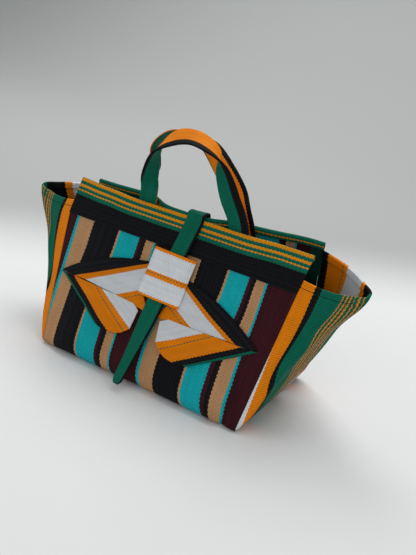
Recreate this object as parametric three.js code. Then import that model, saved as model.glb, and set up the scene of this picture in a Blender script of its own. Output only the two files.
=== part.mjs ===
// A soft tote bag made of striped woven cloth, in millimetres, +Z up.
// One cloth runs down the front, under the base and up the back. A gusset closes each end and
// spreads outwards as a wing. Bands bind the two mouth edges, two strap handles are sewn inside
// them, and a closure strap runs from the back over the mouth and through the knot of a bow.
// The origin is the middle of the base's underside. +X runs along the front, +Y to the back.
import * as THREE from 'three';

// Cloth
const CLOTH = 2; // wall of the body and the gussets
const CLEARANCE = 0.3; // gap kept between two pieces that touch
const BENT_CLEARANCE = 0.6; // the same, where both pieces follow the curved back wall

// Base and walls
const BASE_HALF_LENGTH = 136;
const BASE_HALF_DEPTH = 82;
const BELLY = 8; // the foot of each wall bulges this far between the corners
const BELLY_RUN = 38; // from each corner to where the bulge is full
const BASE_EDGE_RADIUS = 11; // the cloth turns under the bag without a seam
const FRONT_CORNER_RADIUS = 4; // the gussets' seams pinch its front corners
const BACK_CORNER_RADIUS = 13;
const MOUTH_HEIGHT = 193; // top edge of the front and back
const BAND_HEIGHT = 42; // of the bands along the mouth
const WALL_HALF_LENGTH = 154; // from the bands upwards
const BAND_FOOT_HALF_DEPTH = 24.5;
const MOUTH_HALF_DEPTH = 12;
const MOUTH_LEAN = 6.7; // the soft mouth leans this far towards +X

// The back edge is drawn to the front one by the closure strap, and gapes at the +X end
const PINCH_SLACK = 0.4; // left between the two edges where they are drawn together
const PINCH_CENTRE = -1;
const PINCH_HALF_WIDTH = 46;
const GAPE = 17;
const GAPE_START = 45;
const PULL_LENGTH = 125; // the back wall is bent this far down from the mouth

// Gussets
const WING_REACH = 223; // tip of each wing from the middle of the bag
const WING_DROP = 29; // of the tip, below the mouth
const RIM_FRONT_DROP = 27; // where the rim meets the front
const RIM_BACK_DROP = 8;
const RIM_SAG = 6;
const RIM_BULGE = 10; // the back half of each rim curves out this far
const WING_ROUNDING = 0.16; // share of the half width that is rounded at the tip and the folds
const WING_DRAW = 13; // the folds hang in this far between the base and the tip

// Bands along the mouth
const BAND_THICKNESS = 1.8;

// Handles
const HANDLE_WIDTH = 24;
const HANDLE_THICKNESS = 3.4;
const HANDLE_FRONT_CENTRE = 7.3;
const HANDLE_BACK_CENTRE = 3;
const HANDLE_HALF_SPREAD = 60.6;
const HANDLE_RISE = 85; // above the mouth edge
const HANDLE_SEWN_LENGTH = 34; // of each leg, inside the mouth
const HANDLE_SPLAY = 3; // the sewn ends stand this much further apart
const HANDLE_MEETING_DEPTH = 2.2; // the two arches lie side by side here at the top
const HANDLE_APEX_OFFSET = 12.4; // of each strap's middle from that line
// Stations of the arches: place along the spread, place up the rise, and the strap's turn in degrees
const FRONT_ARCH = [
  [0, 0, 0],
  [-0.001, 0.313, 62],
  [0.051, 0.699, 99],
  [0.237, 0.93, 128],
  [0.457, 0.993, 116],
  [0.662, 0.889, 89],
  [0.761, 0.681, 25],
  [0.885, 0.341, -4],
  [1, 0, 0],
];
const BACK_ARCH = [
  [0, 0, 0],
  [-0.001, 0.323, 67],
  [0.018, 0.637, 124],
  [0.133, 0.872, 121],
  [0.333, 0.952, 102],
  [0.535, 0.854, 71],
  [0.711, 0.608, 44],
  [0.874, 0.335, 26],
  [1, 0, 0],
];

// Closure strap
const STRAP_THICKNESS = 2.4;
const STRAP_WIDTH = 22;
const STRAP_TIP_WIDTH = 12;
const STRAP_SEWN_LENGTH = 40; // on the back band
const STRAP_TIP_HEIGHT = 9;
const STRAP_TIP_DEPTH = 104; // the free end stands out in front of the bag
const STRAP_X_MOUTH = 18.5;
const STRAP_X_KNOT = 3;
const STRAP_X_TIP = -6;

// Bow on the front, measured down the cloth from the foot of the band
const BOW_THICKNESS = 3;
const BOW_CENTRE = 0.7;
const BOW_HALF_SPAN = 137;
const BOW_TOP_DROP = 23;
const BOW_TIP_DROP = 67;
const BOW_FOOT_DROP = 113;
const BOW_INNER = 19; // half of the gap between the lower arms
const BOW_ROOT = 14; // half of the gap between the upper arms, under the knot

// Knot, a keeper that the closure strap runs through
const KNOT_LEFT = -22;
const KNOT_RIGHT = 34;
const KNOT_TOP_DROP = 2.7;
const KNOT_FOOT_DROP = 57.7;
const KNOT_THICKNESS = 2;
const KNOT_SIDE = 4; // width of the slope at each sewn side

// Stations of the walls' facets
const WALL_COLUMNS = 36;
const BAND_ROWS = 4;
const WALL_ROWS = 6;
const BASE_EDGE_ROWS = 6;
const BASE_ROWS = 3;

const HALF = CLOTH / 2;
const BAND_FOOT_HEIGHT = MOUTH_HEIGHT - BAND_HEIGHT;
const vec = (x, y, z) => new THREE.Vector3(x, y, z);
const lerp = THREE.MathUtils.lerp;
const smooth = THREE.MathUtils.smoothstep;

// 1 between the corners, where the base edge is full and round, and 0 at its pinched ends
function fullness(x) {
  return 1 - smooth(Math.abs(x), BASE_HALF_LENGTH - BELLY_RUN, BASE_HALF_LENGTH);
}

function footDepth(x) {
  return BASE_HALF_DEPTH + BELLY * fullness(x);
}

// Distance of a wall's middle from the mid-plane, at (x, z)
function wallDepth(x, z) {
  if (z <= BAND_FOOT_HEIGHT) return lerp(footDepth(x), BAND_FOOT_HALF_DEPTH, z / BAND_FOOT_HEIGHT);
  const share = (z - BAND_FOOT_HEIGHT) / BAND_HEIGHT;
  return lerp(BAND_FOOT_HALF_DEPTH, MOUTH_HALF_DEPTH, share);
}

function wallHalfLength(z) {
  return lerp(BASE_HALF_LENGTH, WALL_HALF_LENGTH, Math.min(1, Math.max(0, z / BAND_FOOT_HEIGHT)));
}

function mouthLean(z) {
  return MOUTH_LEAN * Math.max(0, (z - BAND_FOOT_HEIGHT) / BAND_HEIGHT);
}

// How far the back wall is drawn forward (negative) or gapes back, full at the mouth
function backShift(x, z) {
  const depth = 2 * MOUTH_HALF_DEPTH - CLOTH - CLEARANCE - PINCH_SLACK;
  const pinch = -depth * Math.exp(-(((x - PINCH_CENTRE) / PINCH_HALF_WIDTH) ** 4));
  const gape = GAPE * smooth(x, GAPE_START, WALL_HALF_LENGTH);
  const rise = smooth(z, MOUTH_HEIGHT - PULL_LENGTH, MOUTH_HEIGHT);
  return (pinch + gape) * rise;
}

// The middle of the front or back cloth at (x, z); side is -1 in front and 1 behind
function wallPoint(side, x, z) {
  const y = side < 0 ? -wallDepth(x, z) : wallDepth(x, z) + backShift(x, z);
  return vec(x, y, z);
}

// Outward unit normal of a wall, from its slope up the wall and along it
function wallNormal(side, x, z) {
  const step = 0.5;
  const low = Math.min(z, MOUTH_HEIGHT - step);
  const rise = wallPoint(side, x, low + step).sub(wallPoint(side, x, low));
  const along = wallPoint(side, x + step, low).sub(wallPoint(side, x - step, low));
  return rise.cross(along).multiplyScalar(side).normalize();
}

// A point that stands off the wall by some distance along its normal
function offWall(side, x, z, distance) {
  return wallPoint(side, x, z).addScaledVector(wallNormal(side, x, z), distance);
}

// A point at (x, z) itself that stands off the wall by some distance, measured square to it
function besideWall(side, x, z, distance) {
  const point = wallPoint(side, x, z);
  point.y += (side * distance) / Math.abs(wallNormal(side, x, z).y);
  return point;
}

// Height of the point that lies some length down the front cloth from the foot of the band
const FRONT_SLOPE = Math.atan2(footDepth(0) - BAND_FOOT_HALF_DEPTH, BAND_FOOT_HEIGHT);
function dropToHeight(drop) {
  return BAND_FOOT_HEIGHT - drop * Math.cos(FRONT_SLOPE);
}

// A closed solid round a sheet's middle surface. middle(u, v) gives the surface for u and v from
// 0 to 1, and uStops and vStops are the stations where it is faceted.
function sheetSolid(middle, uStops, vStops, thickness) {
  const rows = uStops.length;
  const columns = vStops.length;
  const step = 1e-3;
  const positions = [];
  const normalAt = (u, v) => {
    const alongU = middle(Math.min(1, u + step), v).sub(middle(Math.max(0, u - step), v));
    const alongV = middle(u, Math.min(1, v + step)).sub(middle(u, Math.max(0, v - step)));
    return alongU.cross(alongV).normalize();
  };
  for (const face of [1, -1]) {
    for (const u of uStops) {
      for (const v of vStops) {
        const point = middle(u, v).addScaledVector(normalAt(u, v), (face * thickness) / 2);
        positions.push(point.x, point.y, point.z);
      }
    }
  }
  const index = [];
  const at = (face, i, j) => face * rows * columns + i * columns + j;
  const quad = (a, b, c, d) => index.push(a, b, c, a, c, d);
  // a facet is split along the diagonal that lies closer to the surface
  const rising = (i, j) => {
    const corner = (di, dj) => middle(uStops[i + di], vStops[j + dj]);
    const centre = middle((uStops[i] + uStops[i + 1]) / 2, (vStops[j] + vStops[j + 1]) / 2);
    const up = corner(0, 0).lerp(corner(1, 1), 0.5).distanceTo(centre);
    return up <= corner(1, 0).lerp(corner(0, 1), 0.5).distanceTo(centre) + 1e-6;
  };
  for (let i = 0; i < rows - 1; i += 1) {
    for (let j = 0; j < columns - 1; j += 1) {
      if (rising(i, j)) {
        quad(at(0, i, j), at(0, i + 1, j), at(0, i + 1, j + 1), at(0, i, j + 1));
        quad(at(1, i, j), at(1, i, j + 1), at(1, i + 1, j + 1), at(1, i + 1, j));
      } else {
        quad(at(0, i, j + 1), at(0, i, j), at(0, i + 1, j), at(0, i + 1, j + 1));
        quad(at(1, i + 1, j), at(1, i, j), at(1, i, j + 1), at(1, i + 1, j + 1));
      }
    }
    quad(at(0, i, 0), at(1, i, 0), at(1, i + 1, 0), at(0, i + 1, 0));
    quad(at(0, i, columns - 1), at(0, i + 1, columns - 1), at(1, i + 1, columns - 1), at(1, i, columns - 1));
  }
  for (let j = 0; j < columns - 1; j += 1) {
    quad(at(0, 0, j), at(0, 0, j + 1), at(1, 0, j + 1), at(1, 0, j));
    quad(at(0, rows - 1, j), at(1, rows - 1, j), at(1, rows - 1, j + 1), at(0, rows - 1, j + 1));
  }
  const geometry = new THREE.BufferGeometry();
  geometry.setAttribute('position', new THREE.Float32BufferAttribute(positions, 3));
  geometry.setIndex(index);
  geometry.computeVertexNormals();
  return geometry;
}

const stops = (count) => Array.from({ length: count + 1 }, (_, i) => i / count);

const tote = new THREE.Group();

function addPiece(name, geometry, color, roughness = 0.75) {
  const material = new THREE.MeshStandardMaterial({ color, roughness, metalness: 0 });
  const mesh = new THREE.Mesh(geometry, material);
  mesh.name = name;
  tote.add(mesh);
}

const BURGUNDY = 0x3c161c;
const ORANGE = 0xf0870a;
const GREEN = 0x056e55;
const CHARCOAL = 0x16161a;
const WHITE = 0xdee4e8;

// The rounded base edge of a wall at x: its radius, its centre and the height where it ends
function baseEdge(side, x) {
  const radius = lerp(side < 0 ? FRONT_CORNER_RADIUS : BACK_CORNER_RADIUS, BASE_EDGE_RADIUS, fullness(x));
  const slope = Math.atan2(footDepth(x) - BAND_FOOT_HALF_DEPTH, BAND_FOOT_HEIGHT);
  const z = HALF + radius;
  const y = footDepth(x) - radius / Math.cos(slope) - z * Math.tan(slope);
  return { radius, slope, y, z, top: z + radius * Math.sin(slope) };
}

// Body cloth: down the front, round the base edge, across the base and up the back. Each half of
// its section at x has a band, a wall, a rounded edge and half of the base, and share runs through
// each of them.
function halfSection(side, x, part, share) {
  const edge = baseEdge(side, x);
  if (part === 0) return wallPoint(side, x, lerp(MOUTH_HEIGHT, BAND_FOOT_HEIGHT, share));
  if (part === 1) return wallPoint(side, x, lerp(BAND_FOOT_HEIGHT, edge.top, share));
  if (part === 2) {
    const angle = lerp(edge.slope, -Math.PI / 2, share);
    return vec(x, side * (edge.y + edge.radius * Math.cos(angle)), edge.z + edge.radius * Math.sin(angle));
  }
  return vec(x, side * lerp(edge.y, 0, share), HALF);
}

function bodyGeometry() {
  const divisions = [BAND_ROWS, WALL_ROWS, BASE_EDGE_ROWS, BASE_ROWS, BASE_ROWS, BASE_EDGE_ROWS, WALL_ROWS, BAND_ROWS];
  const parts = divisions.length;
  const middle = (u, v) => {
    const place = Math.min(u * parts, parts - 1e-9);
    const side = place < parts / 2 ? -1 : 1;
    const travelled = side < 0 ? place : parts - place;
    const part = Math.min(Math.floor(travelled), parts / 2 - 1);
    const share = travelled - part;
    const height = halfSection(side, lerp(-BASE_HALF_LENGTH, BASE_HALF_LENGTH, v), part, share).z;
    const half = wallHalfLength(height);
    return halfSection(side, lerp(-half, half, v) + mouthLean(height), part, share);
  };
  const uStops = [0];
  divisions.forEach((count, i) => {
    for (let k = 1; k <= count; k += 1) uStops.push(Math.min(1, (i + k / count) / parts));
  });
  return sheetSolid(middle, uStops, stops(WALL_COLUMNS), CLOTH);
}

addPiece('body_cloth', bodyGeometry(), BURGUNDY);

// Gussets: each is as wide as the base at its foot. Above, a triangle with its point at the wing
// tip leans out from the base, and a facet on each side of it folds back to the front or the back.
function gussetGeometry(end) {
  // the rounding takes this much off the point where the rim's two lines meet
  const rounded = (WING_ROUNDING * (WING_REACH - WALL_HALF_LENGTH)) / (2 - WING_ROUNDING);
  const tip = vec(end * (WING_REACH - HALF + rounded), 0, MOUTH_HEIGHT - WING_DROP);
  const foot = HALF + CLEARANCE;
  // The seam on a wall's end edge, for t from 0 at the base to 1 at the rim
  const seam = (side, t) => {
    const rim = MOUTH_HEIGHT - (side < 0 ? RIM_FRONT_DROP : RIM_BACK_DROP);
    const z = lerp(foot, rim, t);
    const beyond = 3 * CLEARANCE + HALF * Math.sqrt(1 - t * t);
    const x = end * (wallHalfLength(z) + beyond) + mouthLean(z);
    const point = wallPoint(side, x, z);
    point.y += side * HALF * 0.6 * (1 - t);
    return point;
  };
  // The gusset narrows towards its foot where the base edge is rounded
  const narrowing = (side, t) => {
    const straight = seam(side, t);
    const edge = baseEdge(side, straight.x);
    if (straight.z >= edge.top) return 1;
    const round = edge.y + Math.sqrt(edge.radius ** 2 - (edge.z - straight.z) ** 2);
    return round / Math.abs(wallPoint(side, straight.x, straight.z).y);
  };
  const middle = (u, t) => {
    const across = 2 * u - 1;
    const side = across < 0 ? -1 : 1;
    // away from the centre line, rounded where the two facets meet at the tip
    const rounding = WING_ROUNDING * t;
    const out = Math.sqrt(across * across * (1 - rounding * rounding) + rounding * rounding);
    const q = Math.abs(across);
    const corner = seam(side, 0);
    const rim = seam(side, 1);
    const facet = tip.clone().addScaledVector(rim.clone().sub(tip), out);
    facet.addScaledVector(corner.clone().sub(rim), 1 - t);
    const triangle = tip.clone().multiplyScalar(t);
    triangle.addScaledVector(vec(corner.x, 0, corner.z), 1 - t);
    triangle.y = q * corner.y;
    // the two planes meet at q = 1 - t, and the fold between them is rounded
    const past = q - (1 - t);
    const reach = WING_ROUNDING * (1 - q) * 2 + 1e-6;
    const share = smooth(past, -reach, reach);
    const point = triangle.lerp(facet, share);
    // the facet follows the seam's true line, and the rim sags a little in front
    const straight = corner.clone().lerp(rim, t);
    const nearSeam = smooth(q, 1 - Math.max(t, 1e-6), 1);
    point.addScaledVector(seam(side, t).sub(straight), nearSeam);
    if (side < 0) point.z -= RIM_SAG * Math.sin(Math.PI * q) * t ** 4;
    // the back half of the rim curves out, and the folds hang in between the base and the tip
    if (side > 0) {
      const line = rim.clone().sub(tip);
      const outward = vec(end * Math.abs(line.y), Math.abs(line.x), 0).normalize();
      const across = Math.min(1, Math.max(0, (q - 1 + t) / Math.max(t, 1e-6)));
      point.addScaledVector(outward, RIM_BULGE * Math.sin(Math.PI * across) * t * t);
    }
    const nearFold = Math.exp(-(((q - (1 - t)) / 0.35) ** 2)) * (1 - smooth(q, 0.7, 1));
    point.x -= end * WING_DRAW * nearFold * smooth(t, 0, 0.55) * (1 - smooth(t, 0.7, 1));
    point.y *= narrowing(side, t);
    return point;
  };
  const place = (u, t) => middle(end > 0 ? u : 1 - u, t);
  const footRows = [0, 0.015, 0.035, 0.065, 0.1];
  const rows = [...footRows, ...stops(12).slice(1).map((share) => lerp(0.1, 1, share))];
  return sheetSolid(place, stops(28), rows, CLOTH);
}

addPiece('gusset_left', gussetGeometry(-1), ORANGE);
addPiece('gusset_right', gussetGeometry(1), GREEN);

// Bands: each covers the top of its wall on the outside and laps over the cloth's edge
function bandGeometry(side) {
  const standOff = HALF + BENT_CLEARANCE + BAND_THICKNESS / 2;
  const wall = MOUTH_HEIGHT - BAND_FOOT_HEIGHT;
  const lip = CLEARANCE + BAND_THICKNESS / 2;
  const lap = standOff + HALF - CLEARANCE;
  const run = wall + lip + lap;
  const middle = (u, v) => {
    const travelled = u * run;
    const z = BAND_FOOT_HEIGHT + Math.min(travelled, wall);
    const half = wallHalfLength(z);
    const x = lerp(-half, half, v) + mouthLean(z);
    const point = offWall(side, x, z, standOff);
    point.z += Math.min(Math.max(0, travelled - wall), lip);
    const inward = Math.max(0, travelled - wall - lip);
    return point.addScaledVector(vec(0, -side, 0), inward);
  };
  const marks = stops(BAND_ROWS).map((share) => (share * wall) / run);
  const uStops = [...marks, (wall + lip) / run, 1];
  const place = (u, v) => middle(u, side < 0 ? v : 1 - v);
  return sheetSolid(place, uStops, stops(WALL_COLUMNS), BAND_THICKNESS);
}

addPiece('front_band', bandGeometry(-1), GREEN);
addPiece('back_band', bandGeometry(1), GREEN);

// Handles: a flat strap whose legs are sewn to the inside of a wall, flat against it. Between
// them it twists so that it lies flat over the hand at the top of the arch.
function handleGeometry(side) {
  const inside = -(HALF + BENT_CLEARANCE + HANDLE_THICKNESS / 2);
  const topY = HANDLE_MEETING_DEPTH + side * HANDLE_APEX_OFFSET;
  const middleX = side < 0 ? HANDLE_FRONT_CENTRE : HANDLE_BACK_CENTRE;
  const legs = [-1, 1].map((end) => {
    const x = middleX + end * HANDLE_HALF_SPREAD;
    const low = offWall(side, x + end * HANDLE_SPLAY, MOUTH_HEIGHT - HANDLE_SEWN_LENGTH, inside);
    const high = offWall(side, x, MOUTH_HEIGHT, inside);
    return { low, high };
  });
  const points = [legs[0].low];
  const turns = [0];
  for (const [along, up, turn] of side < 0 ? FRONT_ARCH : BACK_ARCH) {
    const base = legs[0].high.clone().lerp(legs[1].high, along);
    base.y = lerp(base.y, topY, Math.min(1, up / 0.4));
    base.z += HANDLE_RISE * up;
    points.push(base);
    turns.push(turn);
  }
  points.push(legs[1].low);
  turns.push(0);
  const curve = new THREE.CatmullRomCurve3(points, false, 'catmullrom', 0.5);
  const turning = new THREE.CatmullRomCurve3(turns.map((turn) => vec(turn, 0, 0)), false, 'catmullrom', 0.5);
  const middle = (u, v) => {
    const centre = curve.getPoint(u);
    const tangent = curve.getTangent(u);
    const twist = THREE.MathUtils.degToRad(turning.getPoint(u).x);
    const outward = vec(-tangent.z, 0, tangent.x).normalize();
    const sideways = tangent.clone().cross(outward).normalize().multiplyScalar(side < 0 ? 1 : -1);
    const across = outward.multiplyScalar(Math.cos(twist)).addScaledVector(sideways, Math.sin(twist));
    const point = centre.addScaledVector(across, (v - 0.5) * HANDLE_WIDTH);
    // the sewn legs follow the wall's own curve, and let go of it above the mouth
    const sewn = 1 - smooth(point.z, MOUTH_HEIGHT, MOUTH_HEIGHT + HANDLE_SEWN_LENGTH);
    const wall = besideWall(side, point.x, Math.min(point.z, MOUTH_HEIGHT), inside);
    point.y = lerp(point.y, wall.y, sewn);
    return point;
  };
  return sheetSolid(middle, stops(50), stops(4), HANDLE_THICKNESS);
}

addPiece('handle_front', handleGeometry(-1), ORANGE);
addPiece('handle_back', handleGeometry(1), ORANGE);

// Closure strap: sewn to the back band, over both mouth edges, down the front, under the knot,
// and free below it
const STRAP_OFF = HALF + CLEARANCE + BOW_THICKNESS + CLEARANCE + STRAP_THICKNESS / 2;
const STRAP_CORNER = 3;
const STRAP_ROUNDED_END = 0.015; // share of the strap's length that is rounded at the tip

// The strap's centre line, moved sideways by some offset while it follows the walls there
function strapPath(offset) {
  const bandOff = HALF + 2 * BENT_CLEARANCE + BAND_THICKNESS + STRAP_THICKNESS / 2;
  const bandMiddle = offWall(-1, 0, MOUTH_HEIGHT, HALF + BENT_CLEARANCE + BAND_THICKNESS / 2);
  const bandTop = bandMiddle.z + CLEARANCE + BAND_THICKNESS;
  const top = bandTop + CLEARANCE + STRAP_THICKNESS / 2;
  const place = (side, x, z, off) => besideWall(side, x + offset, z, off);
  const backFoot = place(1, STRAP_X_MOUTH, MOUTH_HEIGHT - STRAP_SEWN_LENGTH, bandOff);
  const backTop = place(1, STRAP_X_MOUTH, MOUTH_HEIGHT, bandOff);
  const frontTop = place(-1, STRAP_X_MOUTH, MOUTH_HEIGHT, STRAP_OFF);
  const bandFoot = place(-1, lerp(STRAP_X_MOUTH, STRAP_X_KNOT, 0.7), BAND_FOOT_HEIGHT, STRAP_OFF);
  const knotFoot = place(-1, STRAP_X_KNOT, dropToHeight(KNOT_FOOT_DROP), STRAP_OFF);
  const tip = vec(STRAP_X_TIP + offset, -STRAP_TIP_DEPTH, STRAP_TIP_HEIGHT);
  const backEdge = vec(backTop.x, backTop.y, top);
  const frontEdge = vec(frontTop.x, frontTop.y, top);
  const afterBack = backEdge.clone().add(vec(0, -STRAP_CORNER, 0));
  const beforeFront = frontEdge.clone().add(vec(0, STRAP_CORNER, 0));
  const free = knotFoot.clone().lerp(tip, 0.5).add(vec(0, STRAP_CORNER, 0));
  const path = new THREE.CurvePath();
  path.add(new THREE.LineCurve3(backFoot, backTop));
  path.add(new THREE.QuadraticBezierCurve3(backTop, backEdge, afterBack));
  path.add(new THREE.LineCurve3(afterBack, beforeFront));
  path.add(new THREE.QuadraticBezierCurve3(beforeFront, frontEdge, frontTop));
  path.add(new THREE.LineCurve3(frontTop, bandFoot));
  path.add(new THREE.LineCurve3(bandFoot, knotFoot));
  path.add(new THREE.QuadraticBezierCurve3(knotFoot, free, tip));
  return path;
}

function strapGeometry() {
  const half = STRAP_WIDTH / 2;
  const paths = [strapPath(-half), strapPath(0), strapPath(half)];
  const divisions = [5, 4, 1, 4, 4, 4, 12];
  const marks = stops(divisions.length);
  const knotMark = marks[divisions.length - 1];
  // u runs evenly over the path's curves, whatever their lengths
  const along = (path, u) => {
    const place = Math.min(u * divisions.length, divisions.length - 1e-9);
    return path.curves[Math.floor(place)].getPoint(place - Math.floor(place));
  };
  const middle = (u, v) => {
    const [left, centre, right] = paths.map((path) => along(path, u));
    const taper = lerp(1, STRAP_TIP_WIDTH / STRAP_WIDTH, smooth(u, knotMark, 1));
    const end = Math.max(0, (u - 1 + STRAP_ROUNDED_END) / STRAP_ROUNDED_END);
    const across = (2 * v - 1) * taper * Math.sqrt(1 - 0.75 * end * end);
    // a curve through the three paths
    const bow = left.clone().add(right).multiplyScalar(0.5).sub(centre);
    const tilt = right.clone().sub(left).multiplyScalar(0.5);
    return centre.addScaledVector(tilt, across).addScaledVector(bow, across * across);
  };
  const uStops = [0];
  divisions.forEach((count, i) => {
    for (let k = 1; k <= count; k += 1) uStops.push(Math.min(1, lerp(marks[i], marks[i + 1], k / count)));
  });
  uStops.splice(-1, 0, 1 - STRAP_ROUNDED_END / 2);
  return sheetSolid(middle, uStops, stops(4), STRAP_THICKNESS);
}

addPiece('closure_strap', strapGeometry(), GREEN);

// A flat piece that lies on the front cloth: an outline in x and upwards from the band's foot
function onFront(outline, standOff, thickness) {
  const geometry = new THREE.ExtrudeGeometry(outline, { depth: thickness, bevelEnabled: false, curveSegments: 8 });
  const normal = wallNormal(-1, 0, dropToHeight(BOW_TIP_DROP));
  const foot = wallPoint(-1, 0, BAND_FOOT_HEIGHT).addScaledVector(normal, standOff);
  const along = vec(1, 0, 0);
  const up = normal.clone().cross(along).normalize();
  const turn = new THREE.Matrix4().makeBasis(along, up, normal).setPosition(foot);
  return geometry.applyMatrix4(turn);
}

// Bow: a strip folded to a point at each end, whose lower arms end free beside the strap
function bowGeometry(end) {
  const x = (distance) => BOW_CENTRE + end * distance;
  const outline = new THREE.Shape();
  outline.moveTo(x(BOW_HALF_SPAN), -BOW_TIP_DROP);
  outline.quadraticCurveTo(x(88), -BOW_TOP_DROP - 7, x(44), -BOW_TOP_DROP);
  outline.lineTo(x(BOW_ROOT), -BOW_TOP_DROP);
  outline.lineTo(x(BOW_ROOT), -BOW_TIP_DROP - 10);
  outline.lineTo(x(BOW_INNER), -BOW_FOOT_DROP + 10);
  outline.quadraticCurveTo(x(BOW_INNER + 12), -BOW_FOOT_DROP, x(BOW_INNER + 27), -BOW_FOOT_DROP);
  outline.lineTo(x(BOW_HALF_SPAN), -BOW_TIP_DROP);
  return onFront(outline, HALF + CLEARANCE, BOW_THICKNESS);
}

addPiece('bow_wing_left', bowGeometry(-1), ORANGE);
addPiece('bow_wing_right', bowGeometry(1), WHITE);

// Knot: a doubled strip that bridges the strap and is sewn down at its two sides
function knotGeometry() {
  const low = HALF + CLEARANCE + BOW_THICKNESS + CLEARANCE;
  const high = low + STRAP_THICKNESS + CLEARANCE + KNOT_THICKNESS;
  const bridge = new THREE.Shape();
  bridge.moveTo(KNOT_LEFT, low);
  bridge.lineTo(KNOT_LEFT + KNOT_THICKNESS, low);
  bridge.lineTo(KNOT_LEFT + KNOT_THICKNESS + KNOT_SIDE, high - KNOT_THICKNESS);
  bridge.lineTo(KNOT_RIGHT - KNOT_THICKNESS - KNOT_SIDE, high - KNOT_THICKNESS);
  bridge.lineTo(KNOT_RIGHT - KNOT_THICKNESS, low);
  bridge.lineTo(KNOT_RIGHT, low);
  bridge.lineTo(KNOT_RIGHT - KNOT_SIDE, high);
  bridge.lineTo(KNOT_LEFT + KNOT_SIDE, high);
  bridge.closePath();
  const height = KNOT_FOOT_DROP - KNOT_TOP_DROP;
  const geometry = new THREE.ExtrudeGeometry(bridge, { depth: height, bevelEnabled: false });
  // the extrusion runs down the front, and the bridge's own height stands off the cloth
  const normal = wallNormal(-1, 0, dropToHeight(BOW_TIP_DROP));
  const along = vec(1, 0, 0);
  const down = along.clone().cross(normal).normalize();
  const foot = wallPoint(-1, 0, dropToHeight(KNOT_TOP_DROP));
  return geometry.applyMatrix4(new THREE.Matrix4().makeBasis(along, normal, down).setPosition(foot));
}

addPiece('bow_knot', knotGeometry(), WHITE);

export default tote;
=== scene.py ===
"""A soft tote bag of striped, ribbed cloth with folded wings, strap handles and a bow on its front.

Metres throughout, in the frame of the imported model: the origin is the middle of the base's underside,
+X runs along the front and +Y from the front to the back.
"""
import math

import bmesh
import bpy
from mathutils import Matrix, Vector


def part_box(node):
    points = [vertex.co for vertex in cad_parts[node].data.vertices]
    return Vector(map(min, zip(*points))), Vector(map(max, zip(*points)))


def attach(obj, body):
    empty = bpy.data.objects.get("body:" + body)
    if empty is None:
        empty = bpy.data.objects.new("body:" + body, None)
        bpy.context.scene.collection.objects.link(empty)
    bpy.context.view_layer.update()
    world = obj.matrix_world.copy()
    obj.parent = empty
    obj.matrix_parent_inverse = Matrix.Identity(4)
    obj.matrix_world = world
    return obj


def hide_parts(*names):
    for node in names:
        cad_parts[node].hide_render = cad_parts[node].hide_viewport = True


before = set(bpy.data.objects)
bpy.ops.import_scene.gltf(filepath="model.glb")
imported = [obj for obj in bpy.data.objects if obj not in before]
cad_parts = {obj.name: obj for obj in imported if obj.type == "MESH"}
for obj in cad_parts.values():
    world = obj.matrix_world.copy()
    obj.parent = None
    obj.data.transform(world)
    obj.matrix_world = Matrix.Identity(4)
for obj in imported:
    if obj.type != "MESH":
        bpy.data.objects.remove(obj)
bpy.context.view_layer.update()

# Body cloth: one length of ribbed cloth that runs down the front, under the base and up the back,
# with its stripes running up the bag. It is unlined. Its foot is rounded along the middle, pinched to
# an ear at each front corner by the seams of the gussets, and creased beside the one on the right.
CLOTH = 0.0016
BASE_HALF_LENGTH = 0.136
BASE_HALF_DEPTH = 0.082
BELLY = 0.008  # the foot of each wall bulges this far between the corners
BELLY_RUN = 0.038
BASE_EDGE_RADIUS = 0.011
CORNER_RADIUS = {-1: 0.004, 1: 0.013}  # of the same edge at the front and the back corners
BAND_FOOT_HEIGHT = 0.151
BAND_FOOT_HALF_DEPTH = 0.0245
WALL_HALF_LENGTH = 0.154
MOUTH_HEIGHT = 0.193
MOUTH_HALF_DEPTH = 0.012
MOUTH_LEAN = 0.0067
PINCH = 0.0213  # the back mouth edge is drawn this far forward by the strap
PINCH_CENTRE = -0.001
PINCH_HALF_WIDTH = 0.046
GAPE = 0.017
GAPE_START = 0.045
PULL_LENGTH = 0.125
BACK_PULL = 0.007  # the ends of the back mouth edge are drawn in
FRONT_SAG = 0.0022  # the mouth edges hang lower than their ends' full height
FRONT_LEFT_SAG = 0.0024
BACK_SAG = 0.0046
SAG_FULL_HEIGHT = 0.178  # from here up the whole edge hangs by its sag
RIPPLE = 0.0009
CREASE_X = 0.1186
CREASE_LEAN = 0.0054
CREASE_DEPTH = 0.0028
CREASE_HALF_WIDTH = 0.0045
CREASE_RIDGE = 0.35  # the ridge beside the crease, as a share of its depth
CREASE_RIDGE_GAP = 0.010
CREASE_RIDGE_HALF_WIDTH = 0.006


def smooth(value, low, high):
    share = min(1.0, max(0.0, (value - low) / (high - low)))
    return share * share * (3 - 2 * share)


def mix(a, b, share):
    return a + (b - a) * share


def fullness(x):
    """1 between the corners, where the base edge is round and full, and 0 at its pinched ends."""
    return 1 - smooth(abs(x), BASE_HALF_LENGTH - BELLY_RUN, BASE_HALF_LENGTH)


def foot_depth(x):
    return BASE_HALF_DEPTH + BELLY * fullness(x)


def wall_depth(x, z):
    if z <= BAND_FOOT_HEIGHT:
        return mix(foot_depth(x), BAND_FOOT_HALF_DEPTH, z / BAND_FOOT_HEIGHT)
    share = (z - BAND_FOOT_HEIGHT) / (MOUTH_HEIGHT - BAND_FOOT_HEIGHT)
    return mix(BAND_FOOT_HALF_DEPTH, MOUTH_HALF_DEPTH, share)


def wall_half_length(z):
    return mix(BASE_HALF_LENGTH, WALL_HALF_LENGTH, min(1.0, max(0.0, z / BAND_FOOT_HEIGHT)))


def mouth_lean(z):
    return MOUTH_LEAN * max(0.0, (z - BAND_FOOT_HEIGHT) / (MOUTH_HEIGHT - BAND_FOOT_HEIGHT))


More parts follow.
